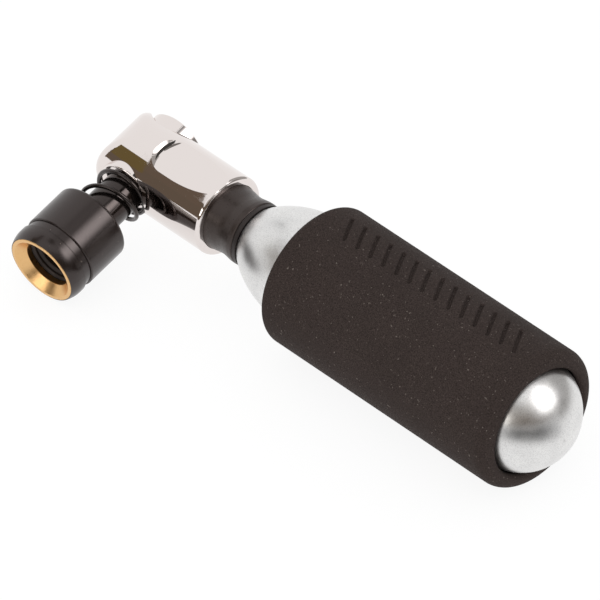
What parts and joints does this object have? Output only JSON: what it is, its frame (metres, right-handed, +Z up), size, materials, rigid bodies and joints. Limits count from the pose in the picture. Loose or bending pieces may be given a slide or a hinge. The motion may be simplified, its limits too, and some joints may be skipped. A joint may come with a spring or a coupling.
{
  "type": "portable tyre inflator",
  "caption": "Chromed tee head screwed on a threaded gas cartridge in a foam sleeve, with a sprung push valve whose dark chuck fits a tyre's valve.",
  "frame": {"origin": "middle of the bounding box's base, on the ground the inflator lies on", "axes": "+X along the cartridge away from the head, +Z up, the chuck's mouth towards -Y"},
  "size_m": [0.1152, 0.0456, 0.028],
  "materials": {
    "chrome": "polished",
    "zinc_steel": "zinc plated, satin",
    "plain_steel": "turned",
    "black_anodised": "satin black anodised",
    "spring_wire": "gloss black",
    "gilt_brass": "satin",
    "foam": "matte foam",
    "collar_plastic": "matte",
    "seal_rubber": "moulded",
    "black_plastic": "matte"
  },
  "bodies": {
    "head": {"tee_body": "chrome", "cartridge_collar": "collar_plastic", "thread_insert": "gilt_brass", "piercing_pin": "plain_steel", "pin_gasket": "seal_rubber", "stem_seal_front": "seal_rubber", "stem_seal_middle": "seal_rubber", "stem_seal_rear": "seal_rubber", "return_spring": "spring_wire"},
    "retainer": {"retaining_screw": "chrome"},
    "plunger": {"plunger_stem": "black_anodised", "chuck_body": "black_anodised", "chuck_nose": "black_anodised", "mouth_ring": "gilt_brass", "valve_grommet": "seal_rubber", "stop_washer": "black_plastic", "core_depressor": "gilt_brass"},
    "neck_ring": {"neck_washer": "seal_rubber"},
    "cartridge": {"cartridge_shell": "zinc_steel", "mouth_seal_cap": "plain_steel"},
    "sleeve": {"foam_sleeve": "foam"}
  },
  "joints": [
    {"name": "plunger_slide", "type": "slide", "parent": "head", "child": "retainer", "axis": [-0.0924, 0.9704, 0.2233], "range_m": [0, 0.0032], "stiffness_N_per_m": 1900, "springref_m": -0.002, "deforming": ["return_spring"]},
    {"name": "plunger_spin", "type": "hinge", "parent": "retainer", "child": "plunger", "pos_m": [-0.04907, 0.00876, 0.014], "axis": [0.0924, -0.9704, -0.2233], "continuous": true},
    {"name": "cartridge_advance", "type": "slide", "parent": "head", "child": "neck_ring", "axis": [1, 0, 0], "range_m": [0, 0.0092]},
    {"name": "cartridge_turn", "type": "hinge", "parent": "neck_ring", "child": "cartridge", "pos_m": [0, 0.00876, 0.014], "axis": [1, 0, 0], "range_deg": [0, 3060]},
    {"name": "sleeve_slide", "type": "slide", "parent": "cartridge", "child": "sleeve", "axis": [1, 0, 0], "range_m": [0, 0.06]}
  ],
  "couplings": [
    {"joint": "cartridge_advance", "follows": "cartridge_turn", "m_per_rad": 0.00016844}
  ]
}
